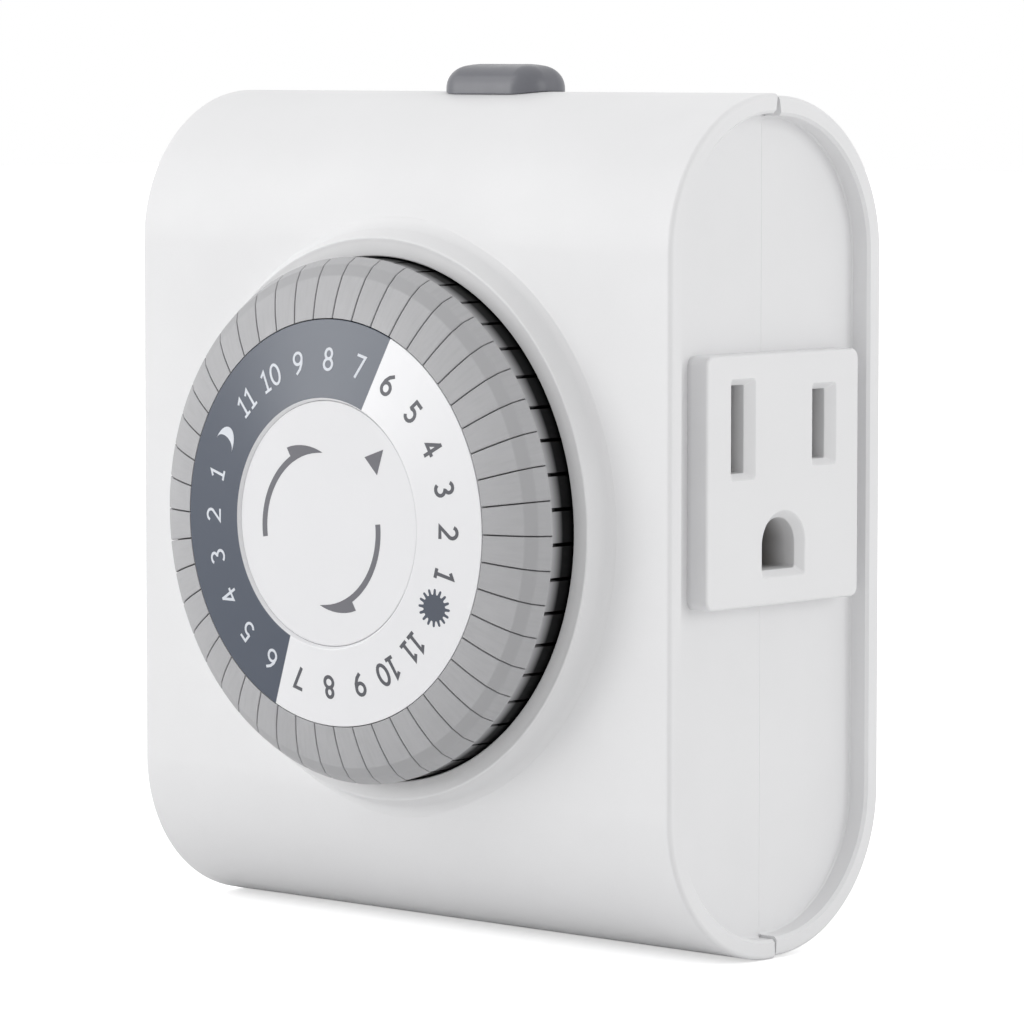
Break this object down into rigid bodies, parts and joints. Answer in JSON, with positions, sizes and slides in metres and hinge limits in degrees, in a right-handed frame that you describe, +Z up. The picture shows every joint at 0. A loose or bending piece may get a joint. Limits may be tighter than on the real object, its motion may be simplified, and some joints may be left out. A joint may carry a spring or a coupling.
{
  "type": "plug-in outlet timer",
  "caption": "Plug-in daily timer: rounded white block with a turning dial of push-pull trippers, a grounded outlet on each side and a slide switch on top.",
  "frame": {"origin": "centre of the flat rear face that lies on the wall", "axes": "+X right seen from the front, +Y from the front into the wall, +Z up"},
  "size_m": [0.0764, 0.0639, 0.0909],
  "materials": {
    "housing_white": "fine satin, moulded",
    "disc_white": "satin, printed arrows",
    "ring_print": "satin, half printed slate grey, with hour figures",
    "tripper_grey": "satin, moulded",
    "carrier_grey": "satin, moulded",
    "knob_grey": "satin, moulded",
    "inner_white": "as moulded",
    "lead_cover": "smooth sheath",
    "contact_brass": "stamped, bare",
    "steel": "zinc plated",
    "motor_steel": "drawn, plated"
  },
  "bodies": {
    "housing": {"front_cover": "housing_white", "rear_cover": "housing_white", "right_outlet_face": "housing_white", "left_outlet_face": "housing_white", "centre_disc": "disc_white", "dial_post": "inner_white", "chassis_plate": "inner_white", "chassis_screws": "steel", "housing_screws": "steel", "motor_can": "motor_steel", "motor_screws": "steel", "motor_leads": "lead_cover", "idler_pin": "steel", "lever_pin": "steel", "neutral_blade": "contact_brass", "hot_blade": "contact_brass", "ground_pin": "contact_brass", "neutral_bus": "contact_brass", "switched_bus": "contact_brass", "ground_bus": "contact_brass", "fixed_contact": "contact_brass"},
    "dial": {"dial_carrier": "carrier_grey", "number_ring": "ring_print"},
    "idler": {"idler_gear": "inner_white"},
    "motor_output": {"motor_pinion": "inner_white"},
    "lever": {"switch_lever": "inner_white"},
    "leaf": {"moving_contact": "contact_brass"},
    "override": {"override_knob": "knob_grey", "override_slide": "knob_grey"},
    "hour_00": {"trippers_hour_00": "tripper_grey"},
    "hour_01": {"trippers_hour_01": "tripper_grey"},
    "hour_02": {"trippers_hour_02": "tripper_grey"},
    "hour_03": {"trippers_hour_03": "tripper_grey"},
    "hour_04": {"trippers_hour_04": "tripper_grey"},
    "hour_05": {"trippers_hour_05": "tripper_grey"},
    "hour_06": {"trippers_hour_06": "tripper_grey"},
    "hour_07": {"trippers_hour_07": "tripper_grey"},
    "hour_08": {"trippers_hour_08": "tripper_grey"},
    "hour_09": {"trippers_hour_09": "tripper_grey"},
    "hour_10": {"trippers_hour_10": "tripper_grey"},
    "hour_11": {"trippers_hour_11": "tripper_grey"},
    "hour_12": {"trippers_hour_12": "tripper_grey"},
    "hour_13": {"trippers_hour_13": "tripper_grey"},
    "hour_14": {"trippers_hour_14": "tripper_grey"},
    "hour_15": {"trippers_hour_15": "tripper_grey"},
    "hour_16": {"trippers_hour_16": "tripper_grey"},
    "hour_17": {"trippers_hour_17": "tripper_grey"},
    "hour_18": {"trippers_hour_18": "tripper_grey"},
    "hour_19": {"trippers_hour_19": "tripper_grey"},
    "hour_20": {"trippers_hour_20": "tripper_grey"},
    "hour_21": {"trippers_hour_21": "tripper_grey"},
    "hour_22": {"trippers_hour_22": "tripper_grey"},
    "hour_23": {"trippers_hour_23": "tripper_grey"}
  },
  "joints": [
    {"name": "dial_turn", "type": "hinge", "parent": "housing", "child": "dial", "pos_m": [0, -0.0346, 0], "axis": [0, 1, 0], "continuous": true},
    {"name": "idler_turn", "type": "hinge", "parent": "housing", "child": "idler", "pos_m": [0, -0.026, -0.0144], "axis": [0, 1, 0], "continuous": true},
    {"name": "motor_turn", "type": "hinge", "parent": "housing", "child": "motor_output", "pos_m": [0, -0.02, -0.0269], "axis": [0, 1, 0], "continuous": true},
    {"name": "lever_rock", "type": "hinge", "parent": "housing", "child": "lever", "pos_m": [0.00157, -0.0245, 0.034], "axis": [-1, 0, 0], "range_deg": [0, 17.2]},
    {"name": "leaf_bend", "type": "hinge", "parent": "housing", "child": "leaf", "pos_m": [0, -0.0185, 0.0103], "axis": [1, 0, 0], "range_deg": [0, 2.87]},
    {"name": "override_slide", "type": "slide", "parent": "housing", "child": "override", "axis": [1, 0, 0], "range_m": [-0.004, 0]},
    {"name": "hour_00_pull", "type": "slide", "parent": "dial", "child": "hour_00", "axis": [0, -1, 0], "range_m": [0, 0.003]},
    {"name": "hour_01_pull", "type": "slide", "parent": "dial", "child": "hour_01", "axis": [0, -1, 0], "range_m": [0, 0.003]},
    {"name": "hour_02_pull", "type": "slide", "parent": "dial", "child": "hour_02", "axis": [0, -1, 0], "range_m": [0, 0.003]},
    {"name": "hour_03_pull", "type": "slide", "parent": "dial", "child": "hour_03", "axis": [0, -1, 0], "range_m": [0, 0.003]},
    {"name": "hour_04_pull", "type": "slide", "parent": "dial", "child": "hour_04", "axis": [0, -1, 0], "range_m": [0, 0.003]},
    {"name": "hour_05_pull", "type": "slide", "parent": "dial", "child": "hour_05", "axis": [0, -1, 0], "range_m": [0, 0.003]},
    {"name": "hour_06_pull", "type": "slide", "parent": "dial", "child": "hour_06", "axis": [0, -1, 0], "range_m": [0, 0.003]},
    {"name": "hour_07_pull", "type": "slide", "parent": "dial", "child": "hour_07", "axis": [0, -1, 0], "range_m": [0, 0.003]},
    {"name": "hour_08_pull", "type": "slide", "parent": "dial", "child": "hour_08", "axis": [0, -1, 0], "range_m": [0, 0.003]},
    {"name": "hour_09_pull", "type": "slide", "parent": "dial", "child": "hour_09", "axis": [0, -1, 0], "range_m": [0, 0.003]},
    {"name": "hour_10_pull", "type": "slide", "parent": "dial", "child": "hour_10", "axis": [0, -1, 0], "range_m": [0, 0.003]},
    {"name": "hour_11_pull", "type": "slide", "parent": "dial", "child": "hour_11", "axis": [0, -1, 0], "range_m": [0, 0.003]},
    {"name": "hour_12_pull", "type": "slide", "parent": "dial", "child": "hour_12", "axis": [0, -1, 0], "range_m": [0, 0.003]},
    {"name": "hour_13_pull", "type": "slide", "parent": "dial", "child": "hour_13", "axis": [0, -1, 0], "range_m": [0, 0.003]},
    {"name": "hour_14_pull", "type": "slide", "parent": "dial", "child": "hour_14", "axis": [0, -1, 0], "range_m": [0, 0.003]},
    {"name": "hour_15_pull", "type": "slide", "parent": "dial", "child": "hour_15", "axis": [0, -1, 0], "range_m": [0, 0.003]},
    {"name": "hour_16_pull", "type": "slide", "parent": "dial", "child": "hour_16", "axis": [0, -1, 0], "range_m": [0, 0.003]},
    {"name": "hour_17_pull", "type": "slide", "parent": "dial", "child": "hour_17", "axis": [0, -1, 0], "range_m": [0, 0.003]},
    {"name": "hour_18_pull", "type": "slide", "parent": "dial", "child": "hour_18", "axis": [0, -1, 0], "range_m": [0, 0.003]},
    {"name": "hour_19_pull", "type": "slide", "parent": "dial", "child": "hour_19", "axis": [0, -1, 0], "range_m": [0, 0.003]},
    {"name": "hour_20_pull", "type": "slide", "parent": "dial", "child": "hour_20", "axis": [0, -1, 0], "range_m": [0, 0.003]},
    {"name": "hour_21_pull", "type": "slide", "parent": "dial", "child": "hour_21", "axis": [0, -1, 0], "range_m": [0, 0.003]},
    {"name": "hour_22_pull", "type": "slide", "parent": "dial", "child": "hour_22", "axis": [0, -1, 0], "range_m": [0, 0.003]},
    {"name": "hour_23_pull", "type": "slide", "parent": "dial", "child": "hour_23", "axis": [0, -1, 0], "range_m": [0, 0.003]}
  ],
  "couplings": [
    {"joint": "idler_turn", "follows": "dial_turn", "ratio": -3},
    {"joint": "motor_turn", "follows": "dial_turn", "ratio": 12},
    {"joint": "lever_rock", "follows": "hour_19_pull", "rad_per_m": 100},
    {"joint": "leaf_bend", "follows": "hour_19_pull", "rad_per_m": 16.66}
  ]
}
